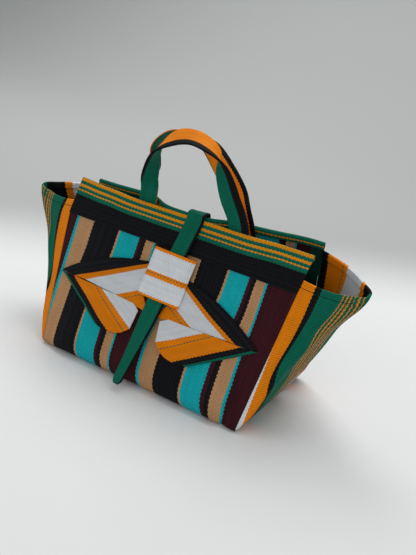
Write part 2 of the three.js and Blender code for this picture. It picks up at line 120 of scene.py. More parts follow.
def back_shift(x, z):
    pinch = -PINCH * math.exp(-(((x - PINCH_CENTRE) / PINCH_HALF_WIDTH) ** 4))
    gape = GAPE * smooth(x, GAPE_START, WALL_HALF_LENGTH)
    return (pinch + gape) * smooth(z, MOUTH_HEIGHT - PULL_LENGTH, MOUTH_HEIGHT)


def crease(side, x, z):
    """A soft valley that runs up the front from beside the right corner."""
    if side > 0:
        return 0.0
    line = CREASE_X + CREASE_LEAN * smooth(z, 0, 0.04)
    valley = math.exp(-(((x - line) / CREASE_HALF_WIDTH) ** 2))
    ridge = CREASE_RIDGE * math.exp(-(((x - line + CREASE_RIDGE_GAP) / CREASE_RIDGE_HALF_WIDTH) ** 2))
    return CREASE_DEPTH * (ridge - valley) * (1 - smooth(z, 0.025, 0.062))


def ripple(side, x, z):
    """Soft unevenness of a wall, outwards, fading out at its edges."""
    wave = math.sin(41 * x + 17 * z + 0.7 * side) * math.sin(33 * z - 9 * x + 1.3)
    wave += 0.6 * math.sin(83 * x - 29 * z + 2.1) * math.sin(52 * z + 11 * x + side)
    ends = 1 - smooth(abs(x), 0.115, BASE_HALF_LENGTH)
    return RIPPLE * wave * ends * smooth(z, 0.02, 0.05) * (1 - smooth(z, 0.12, BAND_FOOT_HEIGHT))


def mouth_sag(side, x):
    """How far a mouth edge hangs below its ends' full height."""
    if side < 0:
        sag = FRONT_SAG * (smooth(x, -0.110, -0.065) - smooth(x, 0.080, 0.125))
        return sag + FRONT_LEFT_SAG * smooth(x, -0.150, -0.110)
    return BACK_SAG - 0.0022 * smooth(x, -0.13, -0.05) - 0.0012 * smooth(x, 0.08, 0.15)


def wall_point(side, x, z):
    """The middle of the front (side -1) or back (side 1) cloth at x and height z."""
    depth = side * (wall_depth(x, z) + ripple(side, x, z) + crease(side, x, z))
    pull = 0.0
    if side > 0:
        depth += back_shift(x, z)
        pull = BACK_PULL * smooth(abs(x), 0.095, 0.158) * smooth(z, 0.09, MOUTH_HEIGHT)
    sag = mouth_sag(side, x) * smooth(z, BAND_FOOT_HEIGHT, SAG_FULL_HEIGHT)
    return Vector((x - math.copysign(pull, x), depth, z - sag))


def wall_normal(side, x, z):
    step = 0.0005
    low = min(z, MOUTH_HEIGHT - step)
    rise = wall_point(side, x, low + step) - wall_point(side, x, low)
    along = wall_point(side, x + step, low) - wall_point(side, x - step, low)
    return (rise.cross(along) * side).normalized()


def off_wall(side, x, z, distance):
    return wall_point(side, x, z) + wall_normal(side, x, z) * distance


def base_edge(side, x):
    """The rounded edge at a wall's foot: its radius, the wall's slope, and its centre's depth and height."""
    radius = mix(CORNER_RADIUS[side], BASE_EDGE_RADIUS, fullness(x))
    slope = math.atan2(foot_depth(x) - BAND_FOOT_HALF_DEPTH, BAND_FOOT_HEIGHT)
    height = CLOTH / 2 + radius
    depth = foot_depth(x) - radius / math.cos(slope) - height * math.tan(slope)
    return radius, slope, depth, height


# The section of the body cloth has these parts on its way down the front and up the back: behind the
# band, wall, rounded edge and half of the base, and the same four in reverse
SECTION_ROWS = (6, 26, 8, 7, 7, 8, 26, 6)
LAST_PART = len(SECTION_ROWS) - 1


def section_point(x, part, share):
    side = -1 if part < 4 else 1
    if side > 0:
        part, share = LAST_PART - part, 1 - share
    radius, slope, depth, height = base_edge(side, x)
    if part == 0:
        return wall_point(side, x, mix(MOUTH_HEIGHT, BAND_FOOT_HEIGHT, share))
    if part == 1:
        return wall_point(side, x, mix(BAND_FOOT_HEIGHT, height + radius * math.sin(slope), share))
    if part == 2:
        angle = mix(slope, -math.pi / 2, share)
        reach = radius + crease(side, x, height) * (1 - share * share)
        return Vector((x, side * (depth + reach * math.cos(angle)), height + reach * math.sin(angle)))
    return Vector((x, side * mix(depth, 0, share), CLOTH / 2))


def sheet_shape(columns, rows, place):
    """A grid whose corner in column i and row j goes to place(i, j), which gives its point and its place
    on the flat cloth: across the stripes and along them, kept in the UV map named Cloth."""
    shape = bmesh.new()
    bmesh.ops.create_grid(shape, x_segments=columns, y_segments=rows, size=1)
    cloth_map = shape.loops.layers.uv.new("Cloth")
    flat = {}
    for corner in shape.verts:
        column = round((corner.co.x + 1) / 2 * columns)
        row = round((corner.co.y + 1) / 2 * rows)
        corner.co, flat[corner] = place(column, row)
    for face in shape.faces:
        for loop in face.loops:
            loop[cloth_map].uv = flat[loop.vert]
    return shape


def add_object(name, shape, finish):
    mesh = bpy.data.meshes.new(name)
    for face in shape.faces:
        face.smooth = True
    shape.to_mesh(mesh)
    shape.free()
    mesh.materials.append(finish)
    made = bpy.data.objects.new(name, mesh)
    bpy.context.scene.collection.objects.link(made)
    return made


def add_piece(name, shape, finish, thickness):
    """A sheet of cloth whose middle layer is the shape."""
    piece = add_object(name, shape, finish)
    wall = piece.modifiers.new("Thickness", "SOLIDIFY")
    wall.thickness = thickness
    wall.offset = 0
    wall.use_even_offset = True
    soften = piece.modifiers.new("Softness", "SUBSURF")
    soften.levels = 1
    soften.render_levels = 1
    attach(piece, "root")
    return piece


class Wire:
    """A number that varies over a surface. Operators on it add the Math nodes that work it out."""

    def __init__(self, shader, socket):
        self.shader = shader
        self.socket = socket

    def math(self, operation, *values):
        inputs = dict(enumerate((self,) + values))
        return self.shader.add("ShaderNodeMath", {"operation": operation}, inputs)

    def __add__(self, other):
        return self.math("ADD", other)

    def __sub__(self, other):
        return self.math("SUBTRACT", other)

    def __rsub__(self, other):
        return (self * -1) + other

    def __mul__(self, other):
        return self.math("MULTIPLY", other)

    def __truediv__(self, other):
        return self.math("DIVIDE", other)

    __radd__ = __add__
    __rmul__ = __mul__


class Shader:
    """One material's nodes."""

    def __init__(self, name):
        self.material = bpy.data.materials.new(name)
        self.material.use_nodes = True
        self.nodes = self.material.node_tree.nodes
        self.links = self.material.node_tree.links
        self.nodes.clear()

    def add(self, kind, settings=None, inputs=None, output=0):
        node = self.nodes.new(kind)
        for key, value in (settings or {}).items():
            if key == "stops":
                self.set_stops(node.color_ramp, value)
            else:
                setattr(node, key, value)
        for key, value in (inputs or {}).items():
            if isinstance(value, Wire):
                self.links.new(value.socket, node.inputs[key])
            else:
                node.inputs[key].default_value = value
        return Wire(self, node.outputs[output]) if node.outputs else None

    def mix(self, share, base, tint, kind="MIX"):
        settings = {"data_type": "RGBA", "blend_type": kind}
        return self.add("ShaderNodeMix", settings, {0: share, 6: base, 7: tint}, output=2)

    def set_stops(self, ramp, stops):
        ramp.interpolation = "CONSTANT"
        while len(ramp.elements) < len(stops):
            ramp.elements.new(1)
        for element, (place, colour) in zip(ramp.elements, stops):
            element.position = place
            element.color = colour

    def finish(self, settings):
        surface = self.add("ShaderNodeBsdfPrincipled", inputs=settings)
        self.add("ShaderNodeOutputMaterial", inputs={"Surface": surface})
        return self.material


def dye(red, green, blue):
    """A yarn colour as it looks on a screen, from 0 to 255, turned to the light's own values."""
    def linear(value):
        value /= 255
        return value / 12.92 if value < 0.04045 else ((value + 0.055) / 1.055) ** 2.4
    return (linear(red), linear(green), linear(blue), 1.0)


BURGUNDY = dye(62, 20, 28)
TURQUOISE = dye(14, 178, 184)
BEIGE = dye(196, 148, 104)
BLACK = dye(17, 18, 21)
ORANGE = dye(248, 138, 4)
AMBER = dye(236, 148, 6)
GREEN = dye(0, 106, 82)
DARK_GREEN = dye(2, 62, 46)
WHITE = dye(232, 236, 239)
# the colour of the painted highlight on the rib tops
PAINTED_GLINT_GREY = dye(205, 208, 210)
RIB = 0.0023
YARN = 0.0010
WANDER = 0.0008  # how far a stripe's edge strays
STITCH_WIDTH = 0.0010
STITCH_LENGTH = 0.0031  # one stitch and the gap after it
RELIEF = 0.0007


def woven(name, stripes, end, dashes=(), stitches=(), rib=RIB, depth=1.0):
    """Warp-faced ribbed cloth. stripes lists where each colour starts across the cloth, in metres, and end
    is where the last one stops. A dash line is one dark yarn that shows on every second rib, and a
    stitch line runs across the stripes at a place along them. depth is how dark the painted shade in
    the furrows is."""
    shader = Shader(name)
    place = shader.add("ShaderNodeUVMap", {"uv_map": "Cloth"})
    uneven = shader.add("ShaderNodeTexNoise", {"noise_dimensions": "2D"}, {"Vector": place, "Scale": 45.0})
    across = shader.add("ShaderNodeSeparateXYZ", inputs={0: place}, output=0) + (uneven - 0.5) * WANDER
    along = shader.add("ShaderNodeSeparateXYZ", inputs={0: place}, output=1)
    # the yarns of one rib lie half a yarn beside those of the next, so a stripe's edge is toothed
    ribs = along / rib + uneven * 0.6
    second_rib = (ribs / 2).math("FRACT").math("GREATER_THAN", 0.5) * 0.5
    spot = across / YARN + second_rib
    yarn_middle = (spot.math("FLOOR") + 0.5 - second_rib) * YARN
    start = stripes[0][0]
    span = end - start
    stops = [((low - start) / span, colour) for low, colour in stripes]
    colour = shader.add("ShaderNodeValToRGB", {"stops": stops}, {0: (yarn_middle - start) / span})
    for centre, tint in dashes:
        near = (across - centre).math("ABSOLUTE").math("LESS_THAN", YARN * 0.5)
        shown = near * (ribs / 2).math("FRACT").math("LESS_THAN", 0.62)
        colour = shader.mix(shown, colour, tint)
    ridge = (ribs * math.pi).math("SINE").math("ABSOLUTE")
    crown = spot.math("FRACT") * 2 - 1
    height = ridge * 0.75 - crown * crown * 0.2 + 0.25
    for centre, tint in stitches:
        line = (along - centre).math("ABSOLUTE").math("LESS_THAN", STITCH_WIDTH / 2)
        thread = line * (across / STITCH_LENGTH).math("FRACT").math("LESS_THAN", 0.66)
        colour = shader.mix(thread, colour, tint)
        height = height - line * 0.4
    tone = shader.add("ShaderNodeTexWhiteNoise", {"noise_dimensions": "1D"}, {"W": spot.math("FLOOR")})
    # painted shade: the furrows between the ribs, the sides of each yarn and the stitch lines are darkened,
    # mixed with the yarns' own random tone
    furrow_shade_and_tone = 1.02 - depth * 0.34 + height * (0.36 * depth) + (tone - 0.5) * 0.10 + (uneven - 0.5) * 0.20
    colour = shader.mix(1.0, colour, furrow_shade_and_tone, "MULTIPLY")
    # painted highlight: the tops of some ribs are painted lighter, as glints of light on the shiny yarn
    painted_glint = (height - 0.72).math("MAXIMUM", 0.0) * tone * tone * tone * 0.16
    colour = shader.mix(painted_glint, colour, PAINTED_GLINT_GREY)
    relief = shader.add("ShaderNodeBump", {}, {"Strength": 0.8, "Distance": RELIEF, "Height": height})
    return shader.finish({
        "Base Color": colour,
        "Roughness": 0.72 - height * 0.14,
        "Normal": relief,
        "Specular IOR Level": 0.08,
    })


# Stripes of the front, by their left edges: a wide repeat of about 150 mm and a part of the next
FRONT_STRIPES = (
    (-0.160, BURGUNDY),
    (-0.1383, TURQUOISE),
    (-0.1353, BEIGE),
    (-0.1140, BLACK),
    (-0.0780, BEIGE),
    (-0.0755, TURQUOISE),
    (-0.0486, BURGUNDY),
    (-0.0440, BLACK),
    (-0.0395, BEIGE),
    (-0.0284, TURQUOISE),
    (-0.0254, BURGUNDY),
    (0.0135, TURQUOISE),
    (0.0165, BEIGE),
    (0.0365, BLACK),
    (0.0704, BEIGE),
    (0.0729, TURQUOISE),
    (0.0978, BURGUNDY),
    (0.1020, BLACK),
    (0.1064, BEIGE),
    (0.1169, TURQUOISE),
    (0.1199, BURGUNDY),
    (0.1560, DARK_GREEN),
)
FRONT_STRIPES_END = 0.190
GREEN_STRIP_X = 0.128  # a strip of the gusset's dark green ends the back on the right
GREEN_STRIP_SHIFT = 0.024
BULGE_DRIFT_CORNER = -0.0015  # the bulge of the front carries its stripes sideways, most in the middle
BULGE_DRIFT_MIDDLE = 0.0031
ASKEW = 0.0125  # low on the front the cloth hangs askew, towards the left end
ASKEW_LEFT = 0.0030
LEFT_DRIFT = 0.0025
BODY_COLUMNS = 128
body_rows = [(part, k / count) for part, count in enumerate(SECTION_ROWS) for k in range(count)]
body_rows.append((LAST_PART, 1.0))
body_lengths = [0.0]
for above, below in zip(body_rows, body_rows[1:]):
    step = section_point(0, *below) - section_point(0, *above)
    body_lengths.append(body_lengths[-1] + step.length)


def stripe_drift(x, part, z):
    """How far the stripes lie to the right of their places at the band."""
    if part > 4:
        in_strip = part > 5 and x > GREEN_STRIP_X + 0.010 * smooth(z, 0.10, 0.16)
        return -GREEN_STRIP_SHIFT if in_strip else 0.0
    bulge = 1.15 * (1 - smooth(z, -0.05, 0.150)) * mix(BULGE_DRIFT_CORNER, BULGE_DRIFT_MIDDLE, fullness(x))
    askew = (1 - smooth(z, 0.050, 0.130)) * mix(0.55, 1, smooth(z, 0.003, 0.025))
    askew *= 1 - smooth(x, 0.080, 0.135)
    at_left = 1 - smooth(x, -0.135, -0.095)
    drift = bulge - mix(ASKEW, ASKEW_LEFT, at_left) * askew - LEFT_DRIFT * at_left * (1 - askew)
    return drift * 0.5 if part == 4 else drift


def body_place(column, row):
    part, share = body_rows[row]
    share_across = column / BODY_COLUMNS
    spot = mix(-BASE_HALF_LENGTH, BASE_HALF_LENGTH, share_across)
    half = wall_half_length(section_point(spot, part, share).z)
    x = mix(-half, half, share_across)
    point = section_point(x, part, share)
    lean = mouth_lean(point.z)
    if lean > 0:
        point = section_point(x + lean, part, share)
    return point, (x - stripe_drift(x, part, point.z), body_lengths[row])


body = add_piece(
    "bag_body",
    sheet_shape(BODY_COLUMNS, len(body_rows) - 1, body_place),
    woven("striped_cloth", FRONT_STRIPES, FRONT_STRIPES_END),
    CLOTH,
)
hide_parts("body_cloth")

# Gussets: one panel closes each end of the bag. Two folds run from the base corners to the wing's
# tip, the rim is turned in and hemmed, and the side seams hold it to the front and the back.
GUSSET_CLOTH = 0.0014
SEAM_LAP = 0.0006
RIM_FRONT_HEIGHT = 0.166
RIM_BACK_HEIGHT = 0.185
RIM_SAG = 0.006
RIM_BULGE = 0.010  # the back half of each rim curves out this far
WING_REACH = 0.223
WING_INSET = 0.001  # the middle of the cloth lies this far inside the reach
WING_HEIGHT = 0.164
WING_ROUNDING = 0.16
WING_DRAW = 0.013  # the folds hang in this far between the base and the tip
WING_DRAW_WIDTH = 0.35
GUSSET_HALF_FOOT = 0.082
GUSSET_HALF_RIM = 0.071
GUSSET_RUN = 0.17  # the cloth from the base to the rim's fold
HEM = 0.008
HEM_RADIUS = 0.0010
NEARLY_NOTHING = 1e-6


def gusset_seam(end, side, t):
    rim = RIM_FRONT_HEIGHT if side < 0 else RIM_BACK_HEIGHT
    z = mix(CLOTH / 2, rim, t)
    beyond = CLOTH / 2 * math.sqrt(1 - t * t) - SEAM_LAP
    x = end * (wall_half_length(z) + beyond) + mouth_lean(z)
    return wall_point(side, x, z)


def gusset_narrowing(end, side, t):
    """The gusset gets narrower at its foot, where the base edge is rounded."""
    seam = gusset_seam(end, side, t)
    radius, slope, depth, height = base_edge(side, seam.x)
    if seam.z >= height + radius * math.sin(slope):
        return 1.0
    round_depth = depth + math.sqrt(max(0.0, radius ** 2 - (height - seam.z) ** 2))
    return round_depth / abs(seam.y)


def gusset_point(end, across, t):
    """across runs from -1 at the front seam to 1 at the back one, and t from 0 at the base to 1 at
    the rim."""
    side = -1 if across < 0 else 1
    q = abs(across)
    rounded = WING_ROUNDING * (WING_REACH - WALL_HALF_LENGTH) / (2 - WING_ROUNDING)
    tip = Vector((end * (WING_REACH - WING_INSET + rounded), 0, WING_HEIGHT))
    rounding = WING_ROUNDING * t
    out = math.sqrt(across * across * (1 - rounding * rounding) + rounding * rounding)
    corner = gusset_seam(end, side, 0)
    rim = gusset_seam(end, side, 1)
    facet = tip + (rim - tip) * out + (corner - rim) * (1 - t)
    triangle = tip * t + Vector((corner.x, 0, corner.z)) * (1 - t)
    triangle.y = q * corner.y
    reach = WING_ROUNDING * (1 - q) * 2 + NEARLY_NOTHING
    share = smooth(q - (1 - t), -reach, reach)
    point = triangle.lerp(facet, share)
    near_seam = smooth(q, 1 - max(t, NEARLY_NOTHING), 1)
    point += (gusset_seam(end, side, t) - corner.lerp(rim, t)) * near_seam
    if side < 0:
        point.z -= RIM_SAG * math.sin(math.pi * q) * t ** 4
    else:
        line = rim - tip
        outward = Vector((end * abs(line.y), abs(line.x), 0)).normalized()
        spread = min(1.0, max(0.0, (q - 1 + t) / max(t, NEARLY_NOTHING)))
        point += outward * (RIM_BULGE * math.sin(math.pi * spread) * t * t)
    near_fold = math.exp(-(((q - (1 - t)) / WING_DRAW_WIDTH) ** 2)) * (1 - smooth(q, 0.7, 1.0))
    point.x -= end * WING_DRAW * near_fold * smooth(t, 0, 0.55) * (1 - smooth(t, 0.7, 1.0))
    point.y *= gusset_narrowing(end, side, t)
    return point


GUSSET_COLUMNS = 72
gusset_stations = [0.1 * k / 8 for k in range(8)] + [mix(0.1, 1.0, k / 28) for k in range(29)]
GUSSET_ROWS = len(gusset_stations) - 1
HEM_ROWS = 3
TURN_ROWS = 4


def gusset_place(end):
    def place(column, row):
        across = 2 * column / GUSSET_COLUMNS - 1
        if end < 0:
            across = -across
        t = gusset_stations[min(row, GUSSET_ROWS)]
        point = gusset_point(end, across, t)
        along = t * GUSSET_RUN
        half = mix(GUSSET_HALF_FOOT, GUSSET_HALF_RIM, t)
        past = row - GUSSET_ROWS
        if past > 0:
            below = gusset_point(end, across, 0.97)
            up = (point - below).normalized()
            ahead = gusset_point(end, min(1, across + 0.02), 1)
            behind = gusset_point(end, max(-1, across - 0.02), 1)
            inward = up.cross(ahead - behind).normalized()
            if inward.x * end > 0:
                inward.negate()
            angle = math.pi * min(1, past / TURN_ROWS)
            turned = inward * (HEM_RADIUS * (1 - math.cos(angle))) + up * (HEM_RADIUS * math.sin(angle))
            down = HEM * max(0, past - TURN_ROWS) / HEM_ROWS
            point = point + turned - up * down
            along += HEM_RADIUS * angle + down
        return point, (across * half, along)

    return place


# Stripes by the distance from the gusset's middle, negative towards the front
GUSSET_FRONT = {
    -1: ((-0.100, ORANGE), (-0.0570, BLACK), (-0.0515, GREEN)),
    1: ((-0.100, WHITE), (-0.0762, ORANGE), (-0.0575, BLACK), (-0.0510, GREEN)),
}
GUSSET_PINSTRIPES = (
    (-0.0288, ORANGE),
    (-0.0276, GREEN),
    (-0.0246, ORANGE),
    (-0.0234, GREEN),
    (-0.0204, ORANGE),
    (-0.0192, GREEN),
    (-0.0162, ORANGE),
    (-0.0150, GREEN),
    (-0.0120, ORANGE),
    (-0.0108, GREEN),
    (-0.0078, ORANGE),
    (-0.0066, GREEN),
)
GUSSET_BACK = {
    -1: ((0.002, BLACK), (0.025, ORANGE), (0.033, WHITE), (0.055, ORANGE), (0.073, BLACK)),
    1: ((0.000, BLACK), (0.014, ORANGE), (0.0185, WHITE), (0.042, ORANGE), (0.064, BLACK), (0.071, GREEN)),
}
GUSSET_DASH = {-1: 0.0595, 1: 0.0475}
GUSSET_STRIPES_END = 0.100
GUSSET_STITCHES = 0.163  # the hem is sewn down this far up the cloth
for end, name in ((-1, "gusset_left"), (1, "gusset_right")):
    gusset = add_piece(
        "bag_" + name,
        sheet_shape(GUSSET_COLUMNS, GUSSET_ROWS + TURN_ROWS + HEM_ROWS, gusset_place(end)),
        woven(
            name + "_cloth",
            GUSSET_FRONT[end] + GUSSET_PINSTRIPES + GUSSET_BACK[end],
            GUSSET_STRIPES_END,
            dashes=((GUSSET_DASH[end], GREEN),),
            stitches=((GUSSET_STITCHES, DARK_GREEN),),
        ),
        GUSSET_CLOTH,
    )
    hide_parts(name)

# Bands: a strip with stripes along its length binds each mouth edge. It covers the top of the wall
# outside, folds over the edge and ends a few millimetres down the inside.
BAND = 0.0013
BAND_OFF = CLOTH / 2 + 0.0003 + BAND / 2
BAND_LAP = 0.006
BAND_SLANT = 1.043  # the wall under the band is this much longer than it is high
BAND_WALL_ROWS = 16
BAND_TURN_ROWS = 6
BAND_LAP_ROWS = 3
BAND_STRIPES = (
    (-0.020, GREEN),
    (-0.0082, AMBER),
    (-0.0068, GREEN),
    (-0.0016, AMBER),
    (0.0014, GREEN),
    (0.0054, AMBER),
    (0.0086, GREEN),
    (0.0120, AMBER),
    (0.0136, GREEN),
    (0.0186, BLACK),
)
BAND_STRIPES_END = 0.060
BAND_COLUMNS = 110


def band_place(side):
    def place(column, row):
        share = column / BAND_COLUMNS
        if row <= BAND_WALL_ROWS:
            z = mix(BAND_FOOT_HEIGHT, MOUTH_HEIGHT, row / BAND_WALL_ROWS)
        else:
            past = row - BAND_WALL_ROWS - BAND_TURN_ROWS
            z = MOUTH_HEIGHT - BAND_LAP * max(0, past) / BAND_LAP_ROWS
        half = wall_half_length(z)
        x = (mix(-half, half, share) if side < 0 else mix(half, -half, share)) + mouth_lean(z)
        normal = wall_normal(side, x, z)
        point = wall_point(side, x, z)
        turned = math.pi * min(1, max(0, (row - BAND_WALL_ROWS) / BAND_TURN_ROWS))
        point += normal * (BAND_OFF * math.cos(turned))
        point.z += BAND_OFF * math.sin(turned)
        from_top = (MOUTH_HEIGHT - z) * BAND_SLANT
        if turned > 0:
            from_top = -(BAND_OFF * turned + MOUTH_HEIGHT - z)
        return point, (from_top, x)

    return place


for side, name in ((-1, "front_band"), (1, "back_band")):
    band = add_piece(
        "bag_" + name,
        sheet_shape(BAND_COLUMNS, BAND_WALL_ROWS + BAND_TURN_ROWS + BAND_LAP_ROWS, band_place(side)),
        woven(name + "_cloth", BAND_STRIPES, BAND_STRIPES_END),
        BAND,
    )
    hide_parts(name)

# Handles: a strip folded lengthwise in its black stripe, green on one face and orange on the other,
# sewn shut along its open edge. The legs are sewn flat inside the walls and the arch lies flat over
# the hand, so the strap twists on its way up.
HANDLE_WIDTH = 0.024
HANDLE_LAYER = 0.0014
HANDLE_PLY = 0.0008  # from the strap's middle to the middle of each layer
HANDLE_CENTRE = {-1: 0.0073, 1: 0.003}
HANDLE_HALF_SPREAD = 0.0606
HANDLE_RISE = 0.085
HANDLE_SEWN_LENGTH = 0.034
HANDLE_SPLAY = 0.003
HANDLE_MEETING_DEPTH = 0.0022
HANDLE_APEX_OFFSET = 0.0124
HANDLE_INSIDE = -(CLOTH / 2 + BAND + 0.0005 + HANDLE_PLY + HANDLE_LAYER / 2)
HANDLE_FACE = {-1: 1, 1: -1}  # which face of the strap is green
HANDLE_STRIPES = ((-0.001, GREEN), (0.0178, BLACK), (0.0298, ORANGE))
HANDLE_STRIPES_END = 0.050
HANDLE_RIB = 0.0017
EDGE_STITCH = 0.0022  # the line of stitches presses the strap this far in from its open edge
ARCH_LEAVES_WALL = 0.4  # the share of the rise at which a handle has come to its own depth
# Stations of each arch: place along the spread, place up the rise, and the strap's turn in degrees
ARCH = {
    -1: ((0, 0, 0), (-0.001, 0.313, 62), (0.051, 0.699, 99), (0.237, 0.93, 128), (0.457, 0.993, 116),
         (0.662, 0.889, 89), (0.761, 0.681, 25), (0.885, 0.341, -4), (1, 0, 0)),
    1: ((0, 0, 0), (-0.001, 0.323, 64), (-0.048, 0.659, 87), (0.124, 0.885, 112), (0.333, 0.952, 104),
        (0.535, 0.854, 71), (0.711, 0.608, 44), (0.874, 0.335, 26), (1, 0, 0)),
}
HANDLE_ROWS = 120


def curve_through(values, place):
    """A smooth curve through evenly spaced values, for a place from 0 at the first to 1 at the last."""
    spot = place * (len(values) - 1)
    index = min(int(spot), len(values) - 2)
    share = spot - index
    start, end = values[index], values[index + 1]
    before = values[index - 1] if index > 0 else start * 2 - end
    after = values[index + 2] if index + 2 < len(values) else end * 2 - start
    leaving = (end - before) * 0.5
    arriving = (after - start) * 0.5
    cubic = (start - end) * 2 + leaving + arriving
    square = (end - start) * 3 - leaving * 2 - arriving
    return start + leaving * share + square * share ** 2 + cubic * share ** 3


def handle_stations(side):
    """The strap's middle and its turn at the sewn end of one leg, along the arch, and at the other end."""
    legs = []
    for end in (-1, 1):
        x = HANDLE_CENTRE[side] + end * HANDLE_HALF_SPREAD
        low = off_wall(side, x + end * HANDLE_SPLAY, MOUTH_HEIGHT - HANDLE_SEWN_LENGTH, HANDLE_INSIDE)
        high = off_wall(side, x, MOUTH_HEIGHT, HANDLE_INSIDE)
        high.z += mouth_sag(side, x)
        legs.append((low, high))
    top_depth = HANDLE_MEETING_DEPTH + side * HANDLE_APEX_OFFSET
    centres = [legs[0][0]]
    turns = [0.0]
    for along, up, turn in ARCH[side]:
        point = legs[0][1] * (1 - along) + legs[1][1] * along
        point.y = mix(point.y, top_depth, min(1.0, up / ARCH_LEAVES_WALL))
        point.z += HANDLE_RISE * up
        centres.append(point)
        turns.append(math.radians(turn))
    return centres + [legs[1][0]], turns + [0.0]


def handle_section():
    """Across and off the strap's middle, from the sewn edge along one face, round the fold and back."""
    half = HANDLE_WIDTH / 2
    fold = half - HANDLE_LAYER / 2 - HANDLE_PLY
    outline = []
    for k in range(9):
        share = k / 8
        pressed = HANDLE_PLY * (1 - 0.12 * math.exp(-(((share * HANDLE_WIDTH - EDGE_STITCH) / 0.0012) ** 2)))
        outline.append((mix(-half, fold, share), pressed))
    for k in range(1, 6):
        angle = math.pi * (0.5 - k / 6)
        outline.append((fold + HANDLE_PLY * math.cos(angle), HANDLE_PLY * math.sin(angle)))
    outline += [(across, -off) for across, off in reversed(outline[:9])]
    return outline


handle_outline = handle_section()
outline_lengths = [0.0]
for (x0, y0), (x1, y1) in zip(handle_outline, handle_outline[1:]):
    outline_lengths.append(outline_lengths[-1] + math.hypot(x1 - x0, y1 - y0))


def handle_place(side):
    centres, turns = handle_stations(side)
    runs = [0.0]
    for row in range(HANDLE_ROWS):
        start, end = (curve_through(centres, (row + ahead) / HANDLE_ROWS) for ahead in (0, 1))
        runs.append(runs[-1] + (end - start).length)

    def place(column, row):
        spot = row / HANDLE_ROWS
        centre = curve_through(centres, spot)
        before = curve_through(centres, max(0.0, spot - 0.002))
        after = curve_through(centres, min(1.0, spot + 0.002))
        tangent = (after - before).normalized()
        twist = curve_through(turns, spot)
        outward = Vector((-tangent.z, 0, tangent.x)).normalized()
        sideways = tangent.cross(outward).normalized() * (1 if side < 0 else -1)
        breadth = outward * math.cos(twist) + sideways * math.sin(twist)
        facing = tangent.cross(breadth).normalized() * HANDLE_FACE[side]
        across, off = handle_outline[column]
        point = centre + breadth * across + facing * off
        # the sewn legs follow the wall's own curve and let go of it above the mouth
        sewn = 1 - smooth(point.z, MOUTH_HEIGHT, MOUTH_HEIGHT + HANDLE_SEWN_LENGTH)
        low = min(point.z, MOUTH_HEIGHT)
        wall = wall_point(side, point.x, low)
        cosine = abs(wall_normal(side, point.x, low).y)
        flat_y = wall.y + side * HANDLE_INSIDE / cosine + facing.y * off / cosine
        point.y = mix(point.y, flat_y, sewn)
        # the fold of the strip wanders off the middle of its black stripe
        drift = -0.0018 + 0.0030 * smooth(spot, 0.55, 0.75)
        if side < 0:
            drift = 0.0055 * (1 - smooth(spot, 0.12, 0.36)) - 0.0020 * smooth(spot, 0.62, 0.80)
        return point, (outline_lengths[column] - drift * HANDLE_FACE[side], runs[row])

    return place


for side, name in ((-1, "handle_front"), (1, "handle_back")):
    handle = add_piece(
        "bag_" + name,
        sheet_shape(len(handle_outline) - 1, HANDLE_ROWS, handle_place(side)),
        woven(name + "_cloth", HANDLE_STRIPES, HANDLE_STRIPES_END, rib=HANDLE_RIB),
        HANDLE_LAYER,
    )
    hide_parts(name)

# Closure strap: a narrower folded strip, sewn to the back band. It runs over both mouth edges, down
# the front and under the knot of the bow, and its end hangs free and stands off the cloth.
STRAP_LAYER = 0.0011
STRAP_PLY = 0.00062
STRAP_WIDTH = 0.022
STRAP_FOLD = 0.0012
STRAP_TIP_WIDTH = 0.0125
STRAP_TIP_LENGTH = 0.007
STRAP_SEWN_HEIGHT = 0.153
strap_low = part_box("closure_strap")[0]
STRAP_TIP = Vector((-0.006, strap_low.y + 0.001, 0.009))
STRAP_X_MOUTH = 0.0172
STRAP_X_KNOT_TOP = 0.0104
STRAP_X_KNOT = 0.003
STRAP_KNOT_DROP = 0.0578
STRAP_CORNER = 0.003
STRAP_FRONT_OFF = 0.0063
STRAP_BACK_OFF = BAND_OFF + BAND / 2 + 0.0004 + STRAP_PLY + STRAP_LAYER / 2
STRAP_STRIPES = ((-0.001, GREEN), (0.0192, BLACK), (0.0255, ORANGE))
STRAP_STRIPES_END = 0.046
STRAP_RIB = 0.0018
STRAP_ROWS = (10, 5, 2, 5, 12, 14, 28)
FRONT_SLOPE = math.atan2(foot_depth(0) - BAND_FOOT_HALF_DEPTH, BAND_FOOT_HEIGHT)


def drop_to_height(drop):
    """The height of a point that lies some length down the front cloth from the foot of the band."""
    return BAND_FOOT_HEIGHT - drop * math.cos(FRONT_SLOPE)


